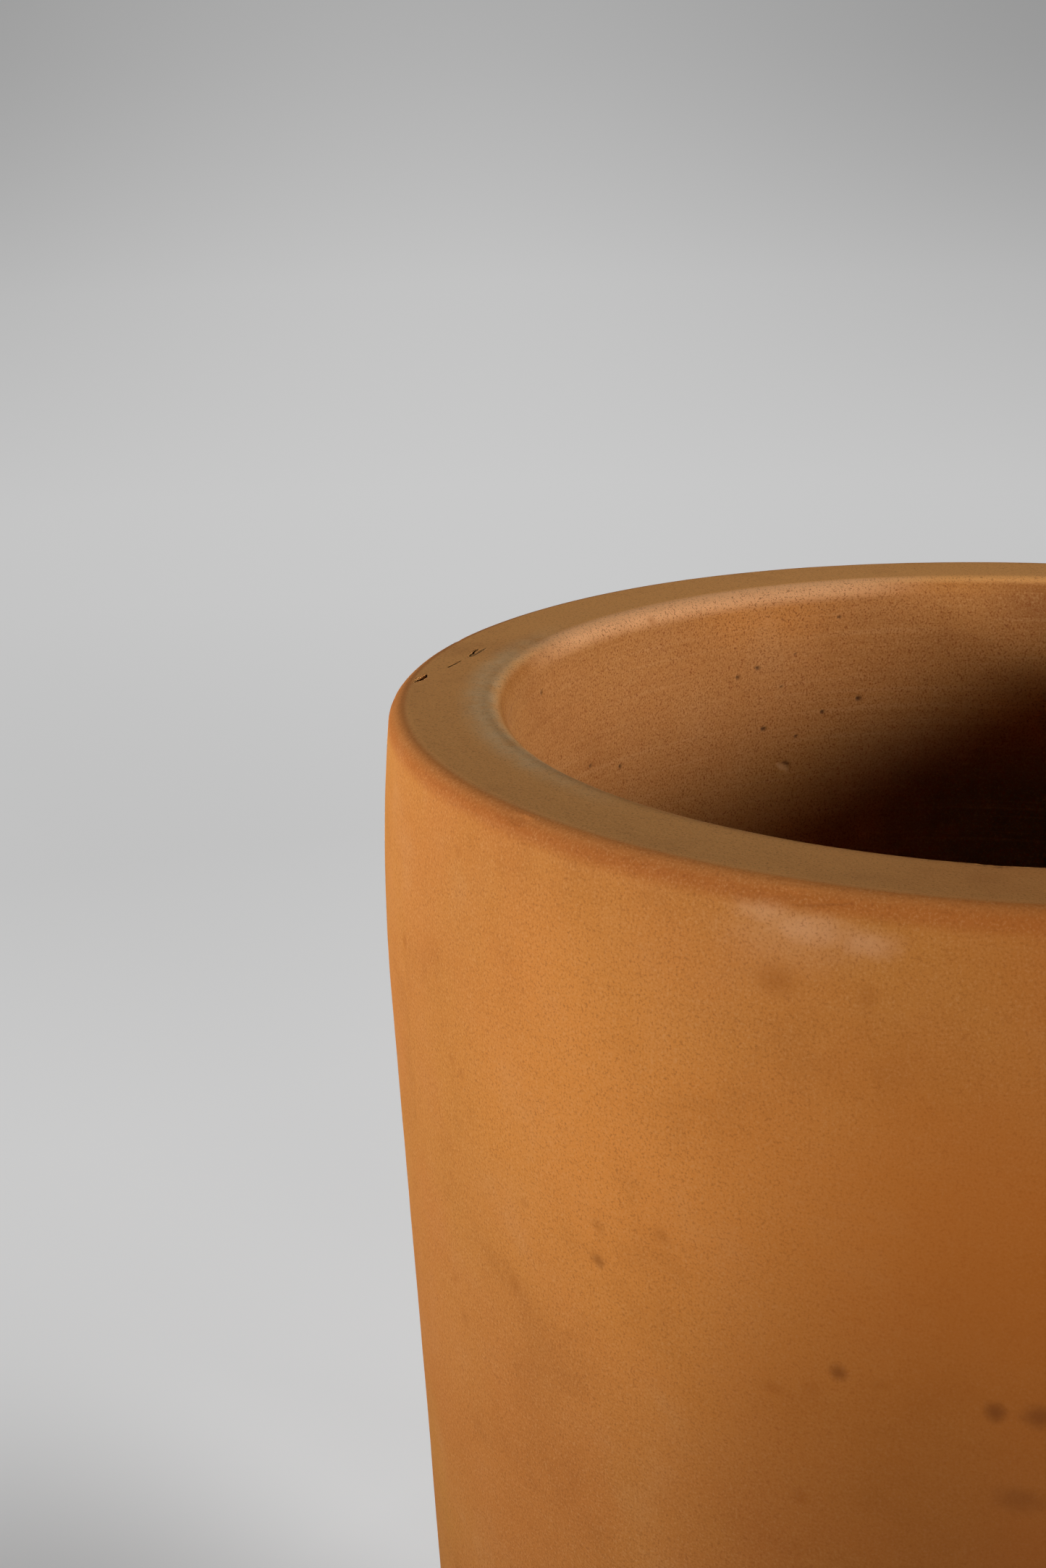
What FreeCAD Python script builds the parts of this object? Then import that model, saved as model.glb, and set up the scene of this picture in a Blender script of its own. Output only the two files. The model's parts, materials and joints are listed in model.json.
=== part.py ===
import FreeCAD, Part
import Sketcher
import math
import os

# Plant pot of unglazed fired clay, standing loose in its clay saucer.
#
# Frame: millimetres, +Z up, origin at the centre of the saucer's underside.
# The pot is thrown round: a straight wall with a slight draft runs tangent into a barrelled
# shoulder, which ends in a flat, soft-edged rim. The saucer follows the pot's foot.


# ---- driving sizes: name, value (mm or degrees), meaning ---------------------------------------

SIZES = (
    ("belly_diameter", 150.0, "pot: outside diameter at the widest place"),
    ("pot_height", 170.0, "pot: foot to rim"),
    ("belly_drop", 23.7, "pot: widest place below the rim"),
    ("shoulder_radius", 228.0, "pot: radius of the barrelled shoulder in the wall's section"),
    ("wall_draft", 2.4, "pot: lean of the straight outside wall, degrees"),
    ("wall_thickness", 15.0, "pot: from the widest place in to the mouth"),
    ("cavity_draft", 1.9, "pot: lean of the inside wall, degrees"),
    ("floor_thickness", 12.0, "pot: clay between the recess under it and its inside floor"),
    ("lip_outer_bevel", 1.5, "pot: soft edge round the outside of the rim"),
    ("lip_inner_radius", 3.2, "pot: rounding of the rim's inner edge"),
    ("cavity_corner_bevel", 6.5, "pot: bevel where the inside wall meets the floor"),
    ("foot_height", 3.0, "pot: height of the foot ring"),
    ("foot_ring_width", 11.0, "pot: width of the foot ring"),
    ("foot_edge_bevel", 1.6, "pot: bevel of the outer bottom edge"),
    ("drain_diameter", 20.0, "pot: drain hole in the floor"),
    ("notch_width", 10.0, "pot: width of each drain notch through the foot ring"),
    ("notch_count", 3, "pot: number of drain notches"),
    ("saucer_clearance", 6.0, "saucer: free gap round the pot's foot"),
    ("saucer_floor", 8.0, "saucer: thickness of its floor"),
    ("saucer_depth", 18.0, "saucer: depth of its well"),
    ("saucer_wall", 7.5, "saucer: thickness of its wall"),
    ("saucer_flare", 5.0, "saucer: outward lean of its wall, degrees"),
    ("saucer_lip_bevel", 1.6, "saucer: bevel of both edges of its rim"),
    ("well_corner_bevel", 2.0, "saucer: bevel where its wall meets the well's floor"),
    ("base_edge_bevel", 1.4, "saucer: bevel of the outer bottom edge"),
    ("saucer_foot_width", 12.0, "saucer: width of the ring that it stands on"),
    ("saucer_recess", 1.5, "saucer: depth of the recess inside that ring"),
)

# Places that follow from the sizes, as expressions over the sheet.
BELLY_RADIUS = "sizes.belly_diameter / 2"
BELLY_HEIGHT = "(sizes.pot_height - sizes.belly_drop)"
SHOULDER_INSET = f"(sizes.shoulder_radius - {BELLY_RADIUS})"
DRAFT_START = f"({BELLY_HEIGHT} - sizes.shoulder_radius * sin(sizes.wall_draft))"
FOOT_RADIUS = (
    f"(sizes.shoulder_radius * cos(sizes.wall_draft) - {SHOULDER_INSET}"
    f" - {DRAFT_START} * tan(sizes.wall_draft))"
)
MOUTH_RADIUS = f"({BELLY_RADIUS} - sizes.wall_thickness)"
CAVITY_FLOOR = "(sizes.foot_height + sizes.floor_thickness)"
CAVITY_FLOOR_RADIUS = (
    f"({MOUTH_RADIUS} - (sizes.pot_height - {CAVITY_FLOOR}) * tan(sizes.cavity_draft))"
)
RECESS_RADIUS = f"({FOOT_RADIUS} - sizes.foot_ring_width)"

SAUCER_HEIGHT = "(sizes.saucer_floor + sizes.saucer_depth)"
WELL_RADIUS = f"({FOOT_RADIUS} + sizes.saucer_clearance)"
WELL_RIM_RADIUS = f"({WELL_RADIUS} + sizes.saucer_depth * tan(sizes.saucer_flare))"
SAUCER_RIM_RADIUS = f"({WELL_RIM_RADIUS} + sizes.saucer_wall)"
SAUCER_BASE_RADIUS = f"({SAUCER_RIM_RADIUS} - {SAUCER_HEIGHT} * tan(sizes.saucer_flare))"
SAUCER_RECESS_RADIUS = f"({SAUCER_BASE_RADIUS} - sizes.saucer_foot_width)"

FULL_TURN = 360.0
EDGE_TOLERANCE = 0.01
THROUGH_ALL = 1

doc = FreeCAD.newDocument("terracotta_pot")


# ---- helpers -----------------------------------------------------------------------------------

def make_sheet():
    """The spreadsheet of driving sizes, one named cell to a row."""
    new_sheet = doc.addObject("Spreadsheet::Sheet", "sizes")
    for row, (alias, value, meaning) in enumerate(SIZES, start=1):
        new_sheet.set(f"A{row}", alias)
        new_sheet.set(f"B{row}", str(value))
        new_sheet.set(f"C{row}", meaning)
        new_sheet.setAlias(f"B{row}", alias)
    doc.recompute()
    return new_sheet


sheet = make_sheet()


def amount(expression):
    """What an expression over the sheet comes to now."""
    result = sheet.evalExpression(expression)
    return float(getattr(result, "Value", result))


def origin_feature(body, role):
    """One of a body's own origin planes or axes."""
    return next(item for item in body.Origin.OriginFeatures if item.Role == role)


def new_sketch(body, name, plane="XZ_Plane"):
    """An empty sketch on one of the body's origin planes."""
    sketch = body.newObject("Sketcher::SketchObject", name)
    sketch.AttachmentSupport = (origin_feature(body, plane), [""])
    sketch.MapMode = "FlatFace"
    return sketch


def bind(sketch, name, constraint, expression):
    """Add a named dimension to a sketch and tie it to the sheet."""
    index = sketch.addConstraint(constraint)
    sketch.renameConstraint(index, name)
    sketch.setExpression(f"Constraints.{name}", expression)


def draw_outline(sketch, corners):
    """Closed outline of straight lines. A corner is a pair of expressions, across and up.

    A corner written as "0" lies on the sketch's axis; any other is dimensioned from the origin.
    """
    points = [FreeCAD.Vector(amount(across), amount(up), 0) for across, up in corners]
    count = len(points)
    for index, start in enumerate(points):
        sketch.addGeometry(Part.LineSegment(start, points[(index + 1) % count]), False)
    for index in range(count):
        sketch.addConstraint(Sketcher.Constraint("Coincident", index, 2, (index + 1) % count, 1))
    for index, (across, up) in enumerate(corners):
        if across == "0":
            sketch.addConstraint(Sketcher.Constraint("PointOnObject", index, 1, -2))
        else:
            width = Sketcher.Constraint("DistanceX", -1, 1, index, 1, points[index].x)
            bind(sketch, f"across_{index}", width, across)
        if up == "0":
            sketch.addConstraint(Sketcher.Constraint("PointOnObject", index, 1, -1))
        else:
            height = Sketcher.Constraint("DistanceY", -1, 1, index, 1, points[index].y)
            bind(sketch, f"up_{index}", height, up)


def turn(body, name, sketch, kind="PartDesign::Revolution"):
    """Turn a section about the body's vertical axis, to add clay or to take it away."""
    feature = body.newObject(kind, name)
    feature.Profile = sketch
    feature.ReferenceAxis = (sketch, ["V_Axis"])
    feature.Angle = FULL_TURN
    doc.recompute()


def hollow(body, name, corners):
    """Take a turned hollow out of a body; its section is given by its corners."""
    before = body.Shape.Volume
    sketch = new_sketch(body, f"{name}_section")
    draw_outline(sketch, corners)
    turn(body, name, sketch, "PartDesign::Groove")
    require_less(body, before, name)


def dress_edge(body, name, kind, radius, height, alias):
    """Round or bevel the circular edge that lies at a radius and a height, both expressions."""
    base = body.Tip
    ring_radius = amount(radius)
    ring_height = amount(height)
    names = []
    for number, edge in enumerate(base.Shape.Edges, start=1):
        curve = edge.Curve
        if not isinstance(curve, Part.Circle):
            continue
        same_radius = abs(curve.Radius - ring_radius) < EDGE_TOLERANCE
        same_height = abs(curve.Center.z - ring_height) < EDGE_TOLERANCE
        if same_radius and same_height:
            names.append(f"Edge{number}")
    if not names:
        raise RuntimeError(f"{name}: no edge at radius {ring_radius}, height {ring_height}")
    feature = body.newObject(f"PartDesign::{kind}", name)
    feature.Base = (base, names)
    feature.setExpression("Radius" if kind == "Fillet" else "Size", f"sizes.{alias}")
    doc.recompute()


def require_less(body, before, name):
    """A cut that points away from the solid takes nothing and shows no error."""
    if not body.Shape.Volume < before:
        raise RuntimeError(f"{name}: the cut took nothing away")


# ---- pot ---------------------------------------------------------------------------------------

def draw_pot_section(sketch):
    """Outside of the pot: foot, drafted wall, shoulder arc tangent to it, bevelled flat rim."""
    height = amount("sizes.pot_height")
    shoulder_radius = amount("sizes.shoulder_radius")
    bevel = amount("sizes.lip_outer_bevel")
    draft = math.radians(amount("sizes.wall_draft"))
    centre = FreeCAD.Vector(-amount(SHOULDER_INSET), amount(BELLY_HEIGHT), 0)
    lip_angle = math.asin((height - bevel - centre.y) / shoulder_radius)
    lip_direction = FreeCAD.Vector(math.cos(lip_angle), math.sin(lip_angle), 0)
    draft_direction = FreeCAD.Vector(math.cos(draft), -math.sin(draft), 0)
    foot_centre = FreeCAD.Vector(0, 0, 0)
    foot_corner = FreeCAD.Vector(amount(FOOT_RADIUS), 0, 0)
    draft_start = centre + draft_direction * shoulder_radius
    lip_corner = centre + lip_direction * shoulder_radius
    rim_corner = lip_corner + FreeCAD.Vector(-bevel, bevel, 0)
    rim_centre = FreeCAD.Vector(0, height, 0)
    circle = Part.Circle(centre, FreeCAD.Vector(0, 0, 1), shoulder_radius)

    foot = sketch.addGeometry(Part.LineSegment(foot_centre, foot_corner), False)
    wall = sketch.addGeometry(Part.LineSegment(foot_corner, draft_start), False)
    shoulder = sketch.addGeometry(Part.ArcOfCircle(circle, -draft, lip_angle), False)
    lip = sketch.addGeometry(Part.LineSegment(lip_corner, rim_corner), False)
    rim = sketch.addGeometry(Part.LineSegment(rim_corner, rim_centre), False)
    axis = sketch.addGeometry(Part.LineSegment(rim_centre, foot_centre), False)

    sketch.addConstraint(Sketcher.Constraint("Coincident", foot, 1, -1, 1))
    sketch.addConstraint(Sketcher.Constraint("Coincident", foot, 2, wall, 1))
    sketch.addConstraint(Sketcher.Constraint("Tangent", wall, 2, shoulder, 1))
    sketch.addConstraint(Sketcher.Constraint("Coincident", shoulder, 2, lip, 1))
    sketch.addConstraint(Sketcher.Constraint("Coincident", lip, 2, rim, 1))
    sketch.addConstraint(Sketcher.Constraint("Coincident", rim, 2, axis, 1))
    sketch.addConstraint(Sketcher.Constraint("Coincident", axis, 2, foot, 1))
    sketch.addConstraint(Sketcher.Constraint("Horizontal", foot))
    sketch.addConstraint(Sketcher.Constraint("Horizontal", rim))
    sketch.addConstraint(Sketcher.Constraint("Vertical", axis))

    size = Sketcher.Constraint("Radius", shoulder, shoulder_radius)
    inset = Sketcher.Constraint("DistanceX", shoulder, 3, -1, 1, -centre.x)
    belly = Sketcher.Constraint("DistanceY", -1, 1, shoulder, 3, centre.y)
    lean = Sketcher.Constraint("Angle", wall, math.pi / 2 - draft)
    top = Sketcher.Constraint("DistanceY", -1, 1, rim, 2, height)
    bevel_width = Sketcher.Constraint("DistanceX", lip, 2, lip, 1, bevel)
    bevel_height = Sketcher.Constraint("DistanceY", lip, 1, lip, 2, bevel)
    bind(sketch, "shoulder_radius", size, "sizes.shoulder_radius")
    bind(sketch, "shoulder_inset", inset, SHOULDER_INSET)
    bind(sketch, "belly_height", belly, BELLY_HEIGHT)
    bind(sketch, "wall_lean", lean, "90 - sizes.wall_draft")
    bind(sketch, "rim_height", top, "sizes.pot_height")
    bind(sketch, "lip_bevel_width", bevel_width, "sizes.lip_outer_bevel")
    bind(sketch, "lip_bevel_height", bevel_height, "sizes.lip_outer_bevel")


def cut_drain(body):
    """Round drain hole straight through the middle of the floor."""
    before = body.Shape.Volume
    sketch = new_sketch(body, "drain_outline", "XY_Plane")
    radius = amount("sizes.drain_diameter / 2")
    centre = FreeCAD.Vector(0, 0, 0)
    circle = sketch.addGeometry(Part.Circle(centre, FreeCAD.Vector(0, 0, 1), radius), False)
    sketch.addConstraint(Sketcher.Constraint("Coincident", circle, 3, -1, 1))
    size = Sketcher.Constraint("Diameter", circle, 2 * radius)
    bind(sketch, "drain_diameter", size, "sizes.drain_diameter")
    pocket = body.newObject("PartDesign::Pocket", "drain_hole")
    pocket.Profile = sketch
    pocket.Type = THROUGH_ALL
    pocket.Reversed = True
    doc.recompute()
    require_less(body, before, "drain_hole")


def cut_notches(body):
    """Notches through the foot ring, so that water can leave from under the pot."""
    before = body.Shape.Volume
    sketch = new_sketch(body, "notch_outline", "XY_Plane")
    half_width = "sizes.notch_width / 2"
    inner = f"{RECESS_RADIUS} / 2"
    outer = f"{FOOT_RADIUS} + sizes.saucer_clearance"
    draw_outline(sketch, (
        (inner, f"-{half_width}"),
        (outer, f"-{half_width}"),
        (outer, half_width),
        (inner, half_width),
    ))
    notch = body.newObject("PartDesign::Pocket", "drain_notch")
    notch.Profile = sketch
    notch.Reversed = True
    notch.setExpression("Length", "sizes.foot_height")
    doc.recompute()
    require_less(body, before, "drain_notch")
    ring = body.newObject("PartDesign::PolarPattern", "drain_notches")
    ring.Originals = [notch]
    ring.Axis = (origin_feature(body, "Z_Axis"), [""])
    ring.Angle = FULL_TURN
    ring.setExpression("Occurrences", "sizes.notch_count")
    body.Tip = ring
    doc.recompute()


def make_pot():
    """Pot, drawn with its foot on z = 0 and then set on the saucer's floor."""
    body = doc.addObject("PartDesign::Body", "pot")
    body.Label = "pot"
    section = new_sketch(body, "pot_section")
    draw_pot_section(section)
    turn(body, "pot_form", section)
    hollow(body, "cavity", (
        ("0", CAVITY_FLOOR),
        (CAVITY_FLOOR_RADIUS, CAVITY_FLOOR),
        (MOUTH_RADIUS, "sizes.pot_height"),
        ("0", "sizes.pot_height"),
    ))
    hollow(body, "foot_recess", (
        ("0", "0"),
        (RECESS_RADIUS, "0"),
        (RECESS_RADIUS, "sizes.foot_height"),
        ("0", "sizes.foot_height"),
    ))
    dress_edge(body, "lip_inside", "Fillet", MOUTH_RADIUS, "sizes.pot_height", "lip_inner_radius")
    dress_edge(body, "cavity_corner", "Chamfer", CAVITY_FLOOR_RADIUS, CAVITY_FLOOR, "cavity_corner_bevel")
    dress_edge(body, "foot_edge", "Chamfer", FOOT_RADIUS, "0", "foot_edge_bevel")
    cut_drain(body)
    cut_notches(body)
    body.setExpression("Placement.Base.z", "sizes.saucer_floor")
    return body


# ---- saucer ------------------------------------------------------------------------------------

def make_saucer():
    """Saucer: a shallow flared dish whose well follows the pot's foot."""
    body = doc.addObject("PartDesign::Body", "saucer")
    body.Label = "saucer"
    section = new_sketch(body, "saucer_section")
    draw_outline(section, (
        ("0", "0"),
        (SAUCER_BASE_RADIUS, "0"),
        (SAUCER_RIM_RADIUS, SAUCER_HEIGHT),
        ("0", SAUCER_HEIGHT),
    ))
    turn(body, "saucer_form", section)
    hollow(body, "well", (
        ("0", "sizes.saucer_floor"),
        (WELL_RADIUS, "sizes.saucer_floor"),
        (WELL_RIM_RADIUS, SAUCER_HEIGHT),
        ("0", SAUCER_HEIGHT),
    ))
    hollow(body, "base_recess", (
        ("0", "0"),
        (SAUCER_RECESS_RADIUS, "0"),
        (SAUCER_RECESS_RADIUS, "sizes.saucer_recess"),
        ("0", "sizes.saucer_recess"),
    ))
    dress_edge(body, "rim_outside", "Chamfer", SAUCER_RIM_RADIUS, SAUCER_HEIGHT, "saucer_lip_bevel")
    dress_edge(body, "rim_inside", "Chamfer", WELL_RIM_RADIUS, SAUCER_HEIGHT, "saucer_lip_bevel")
    dress_edge(body, "well_corner", "Chamfer", WELL_RADIUS, "sizes.saucer_floor", "well_corner_bevel")
    dress_edge(body, "base_edge", "Chamfer", SAUCER_BASE_RADIUS, "0", "base_edge_bevel")
    return body


# ---- build, check and write --------------------------------------------------------------------

def check_document(bodies):
    """Stop if any feature failed, a sketch is loose, or a sub-part isn't one valid solid."""
    doc.recompute()
    for item in doc.Objects:
        if "Invalid" in item.State or "Error" in item.State:
            raise RuntimeError(f"{item.Label}: {item.State}")
        if item.TypeId == "Sketcher::SketchObject" and not item.FullyConstrained:
            raise RuntimeError(f"{item.Label}: not fully constrained")
    for body in bodies:
        shape = body.Shape
        if shape.isNull() or not shape.isValid() or len(shape.Solids) != 1:
            raise RuntimeError(f"{body.Label}: not one valid solid")


def write_steps(bodies):
    """One STEP file for each sub-part, named after it."""
    os.makedirs("parts", exist_ok=True)
    for body in bodies:
        body.Shape.exportStep(os.path.join("parts", f"{body.Label}.step"))
        box = body.Shape.optimalBoundingBox()
        size = f"{box.XLength:.1f} x {box.YLength:.1f} x {box.ZLength:.1f} mm"
        print(f"{body.Label}: {size}, z {box.ZMin:.1f} to {box.ZMax:.1f}")


sub_parts = [make_saucer(), make_pot()]
check_document(sub_parts)
write_steps(sub_parts)
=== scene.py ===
import json
import math
import random

import bmesh
import bpy
from mathutils import Matrix, Vector
from mathutils.noise import noise as noise3d


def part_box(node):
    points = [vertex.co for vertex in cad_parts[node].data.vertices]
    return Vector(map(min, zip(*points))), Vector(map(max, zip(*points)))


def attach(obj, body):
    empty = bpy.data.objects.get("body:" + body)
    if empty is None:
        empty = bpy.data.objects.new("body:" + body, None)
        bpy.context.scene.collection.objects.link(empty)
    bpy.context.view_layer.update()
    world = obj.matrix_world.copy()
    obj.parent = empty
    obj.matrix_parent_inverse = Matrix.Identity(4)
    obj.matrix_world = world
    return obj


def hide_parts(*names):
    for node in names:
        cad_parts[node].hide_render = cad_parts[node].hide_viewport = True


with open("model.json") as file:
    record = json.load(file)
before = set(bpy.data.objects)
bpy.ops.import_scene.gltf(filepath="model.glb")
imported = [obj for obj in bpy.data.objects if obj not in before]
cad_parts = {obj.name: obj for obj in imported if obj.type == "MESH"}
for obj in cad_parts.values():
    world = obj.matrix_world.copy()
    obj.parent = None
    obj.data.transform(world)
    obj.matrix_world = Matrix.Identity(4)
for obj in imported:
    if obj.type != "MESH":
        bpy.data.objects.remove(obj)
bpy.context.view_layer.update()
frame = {"nodes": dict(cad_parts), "record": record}
print("frame loaded:", sorted(frame["nodes"]))

mm = 0.001
potLow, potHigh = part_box("pot")
saucerLow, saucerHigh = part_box("saucer")
drainMount = next(m for m in frame["record"]["mounts"] if m["name"] == "drain_hole")

footZ = potLow.z
rimZ = potHigh.z
bellyRadius = (potHigh.x - potLow.x) / 2
drainRadius = drainMount["dims"]["r_mm"] * mm


def srgb(red, green, blue):    # screen colour, 0 to 255, to the linear colour that nodes want
    linear = [c / 12.92 if c <= 0.04045 else ((c + 0.055) / 1.055) ** 2.4
              for c in (red / 255, green / 255, blue / 255)]
    return (*linear, 1.0)


# node building

def addNode(tree, kind, inputs=None, **settings):
    made = tree.nodes.new(kind)
    for name, value in settings.items():
        setattr(made, name, value)
    for key, value in (inputs or {}).items():
        if isinstance(value, bpy.types.NodeSocket):
            tree.links.new(value, made.inputs[key])
        else:
            made.inputs[key].default_value = value
    return made


def calc(tree, operation, first, second=0.0, third=0.0):
    made = addNode(tree, "ShaderNodeMath", {0: first, 1: second, 2: third}, operation=operation)
    return made.outputs[0]


def aim(tree, operation, first, second=(0.0, 0.0, 0.0), scale=1.0):
    made = addNode(tree, "ShaderNodeVectorMath", {0: first, 1: second, 3: scale},
                   operation=operation)
    return made.outputs["Value" if operation in ("LENGTH", "DISTANCE", "DOT_PRODUCT") else "Vector"]


def ramp(tree, value, low, high, toLow=0.0, toHigh=1.0):    # smooth step between two values
    made = addNode(tree, "ShaderNodeMapRange", {
        "Value": value, "From Min": low, "From Max": high, "To Min": toLow, "To Max": toHigh,
    }, interpolation_type="SMOOTHSTEP")
    return made.outputs["Result"]


def noise(tree, vector, scale, detail=2.0, roughness=0.5, seed=0.0):
    made = addNode(tree, "ShaderNodeTexNoise", {
        "Vector": vector, "W": seed, "Scale": scale, "Detail": detail, "Roughness": roughness,
    }, noise_dimensions="4D")
    return made.outputs[0]


# turned clay: a section is swung round the axis and given the marks of the hand

treeInputs = (
    ("Columns", "NodeSocketInt"),
    ("Closed Section", "NodeSocketBool"),
    ("Wobble", "NodeSocketFloat"),
    ("Lumps", "NodeSocketFloat"),
    ("Turning Rings", "NodeSocketFloat"),
    ("Grain", "NodeSocketFloat"),
    ("Notch Count", "NodeSocketInt"),
    ("Notch Width", "NodeSocketFloat"),
    ("Notch Height", "NodeSocketFloat"),
    ("Notch Radius", "NodeSocketFloat"),
    ("Foot Height", "NodeSocketFloat"),
    ("Seed", "NodeSocketFloat"),
    ("Clay", "NodeSocketMaterial"),
)


def makeTurnedClayTree():
    tree = bpy.data.node_groups.new("turnedClay", "GeometryNodeTree")
    tree.interface.new_socket("Section", in_out="INPUT", socket_type="NodeSocketGeometry")
    for name, kind in treeInputs:
        tree.interface.new_socket(name, in_out="INPUT", socket_type=kind)
    tree.interface.new_socket("Form", in_out="OUTPUT", socket_type="NodeSocketGeometry")
    given = tree.nodes.new("NodeGroupInput").outputs
    section = given["Section"]

    # a grid with one column for each step round and one row for each point of the section
    count = addNode(tree, "GeometryNodeAttributeDomainSize", {"Geometry": section})
    rows = calc(tree, "ADD", count.outputs["Point Count"], given["Closed Section"])
    columns = calc(tree, "ADD", given["Columns"], 1.0)
    grid = addNode(tree, "GeometryNodeMeshGrid", {"Vertices X": columns, "Vertices Y": rows})
    index = tree.nodes.new("GeometryNodeInputIndex").outputs[0]
    turn = calc(tree, "FLOOR", calc(tree, "DIVIDE", calc(tree, "ADD", index, 0.5), rows))
    row = calc(tree, "SUBTRACT", index, calc(tree, "MULTIPLY", turn, rows))
    row = calc(tree, "MODULO", row, count.outputs["Point Count"])
    angle = calc(tree, "DIVIDE", calc(tree, "MULTIPLY", turn, 2 * math.pi), given["Columns"])
    place = tree.nodes.new("GeometryNodeInputPosition").outputs[0]
    spot = addNode(tree, "GeometryNodeSampleIndex", {"Geometry": section, "Value": place, "Index": row},
                   data_type="FLOAT_VECTOR").outputs[0]
    spotParts = addNode(tree, "ShaderNodeSeparateXYZ", {0: spot})
    swung = addNode(tree, "ShaderNodeCombineXYZ", {
        "X": calc(tree, "MULTIPLY", spotParts.outputs["X"], calc(tree, "COSINE", angle)),
        "Y": calc(tree, "MULTIPLY", spotParts.outputs["X"], calc(tree, "SINE", angle)),
        "Z": spotParts.outputs["Z"],
    }).outputs[0]
    form = addNode(tree, "GeometryNodeSetPosition", {"Geometry": grid.outputs["Mesh"], "Position": swung})
    inside = addNode(tree, "GeometryNodeInputNamedAttribute", {"Name": "inside"}, data_type="FLOAT")
    weight = addNode(tree, "GeometryNodeSampleIndex", {
        "Geometry": section, "Value": inside.outputs["Attribute"], "Index": row,
    }, data_type="FLOAT").outputs[0]
    form = addNode(tree, "GeometryNodeStoreNamedAttribute", {
        "Geometry": form.outputs[0], "Name": "inside", "Value": weight,
    }, data_type="FLOAT", domain="POINT")
    form = addNode(tree, "GeometryNodeMergeByDistance", {"Geometry": form.outputs[0], "Distance": 0.01 * mm})

    # the hand's marks only ever take clay away, so the form stays inside its stated size
    parts = addNode(tree, "ShaderNodeSeparateXYZ", {0: place})
    across = aim(tree, "LENGTH", aim(tree, "MULTIPLY", place, (1.0, 1.0, 0.0)))
    ringPlace = addNode(tree, "ShaderNodeCombineXYZ", {
        "X": calc(tree, "MULTIPLY", parts.outputs["X"], 8.0),
        "Y": calc(tree, "MULTIPLY", parts.outputs["Y"], 8.0),
        "Z": calc(tree, "MULTIPLY", calc(tree, "ADD", parts.outputs["Z"], across), 330.0),
    }).outputs[0]
    seed = given["Seed"]
    ringWeight = calc(tree, "MULTIPLY_ADD", inside.outputs["Attribute"], 0.8, 0.2)
    rings = calc(tree, "MULTIPLY", noise(tree, ringPlace, 1.0, 2.0, 0.55, seed), ringWeight)
    depth = calc(tree, "MULTIPLY", noise(tree, place, 14.0, 1.0, 0.4, seed), given["Wobble"])
    depth = calc(tree, "MULTIPLY_ADD", noise(tree, place, 70.0, 2.0, 0.5, seed), given["Lumps"], depth)
    depth = calc(tree, "MULTIPLY_ADD", noise(tree, place, 330.0, 1.0, 0.5, seed), given["Grain"], depth)
    depth = calc(tree, "MULTIPLY_ADD", rings, given["Turning Rings"], depth)
    normal = tree.nodes.new("GeometryNodeInputNormal").outputs[0]
    form = addNode(tree, "GeometryNodeSetPosition", {
        "Geometry": form.outputs[0],
        "Offset": aim(tree, "SCALE", normal, scale=calc(tree, "MULTIPLY", depth, -1.0)),
    })

    # drain notches are cut through the foot ring
    half = calc(tree, "MULTIPLY", given["Notch Height"], 2.0)
    cutter = addNode(tree, "GeometryNodeMeshCube", {"Size": addNode(tree, "ShaderNodeCombineXYZ", {
        "X": given["Notch Radius"], "Y": given["Notch Width"], "Z": half,
    }).outputs[0]})
    stations = addNode(tree, "GeometryNodeMeshCircle", {
        "Vertices": calc(tree, "MAXIMUM", given["Notch Count"], 3.0), "Radius": given["Notch Radius"],
    })
    stationPlace = addNode(tree, "ShaderNodeSeparateXYZ", {0: place})
    stationTurn = addNode(tree, "ShaderNodeCombineXYZ", {
        "Z": calc(tree, "ARCTAN2", stationPlace.outputs["Y"], stationPlace.outputs["X"]),
    }).outputs[0]
    cutters = addNode(tree, "GeometryNodeInstanceOnPoints", {
        "Points": stations.outputs["Mesh"], "Instance": cutter.outputs["Mesh"], "Rotation": stationTurn,
    })
    lift = addNode(tree, "ShaderNodeCombineXYZ", {"Z": given["Foot Height"]}).outputs[0]
    cutters = addNode(tree, "GeometryNodeRealizeInstances", {"Geometry": cutters.outputs[0]})
    cutters = addNode(tree, "GeometryNodeTransform", {"Geometry": cutters.outputs[0], "Translation": lift})
    notched = addNode(tree, "GeometryNodeMeshBoolean", {0: form.outputs[0], 1: cutters.outputs[0]},
                      operation="DIFFERENCE", solver="EXACT")
    anyNotch = calc(tree, "GREATER_THAN", given["Notch Count"], 0.5)
    form = addNode(tree, "GeometryNodeSwitch", {
        "Switch": anyNotch, "False": form.outputs[0], "True": notched.outputs["Mesh"],
    }, input_type="GEOMETRY")

    # smooth skin, with crisp edges where a notch was cut
    form = addNode(tree, "GeometryNodeSetShadeSmooth", {"Geometry": form.outputs[0], "Shade Smooth": True},
                   domain="FACE")
    fold = tree.nodes.new("GeometryNodeInputMeshEdgeAngle").outputs["Unsigned Angle"]
    form = addNode(tree, "GeometryNodeSetShadeSmooth", {
        "Geometry": form.outputs[0], "Selection": calc(tree, "GREATER_THAN", fold, math.radians(50)),
        "Shade Smooth": False,
    }, domain="EDGE")
    form = addNode(tree, "GeometryNodeRealizeInstances", {"Geometry": form.outputs[0]})
    form = addNode(tree, "GeometryNodeSetMaterial", {"Geometry": form.outputs[0], "Material": given["Clay"]})
    tree.links.new(form.outputs[0], tree.nodes.new("NodeGroupOutput").inputs[0])
    return tree


bendLength = 0.45 * mm    # along a rounding, between two points of a section


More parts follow.
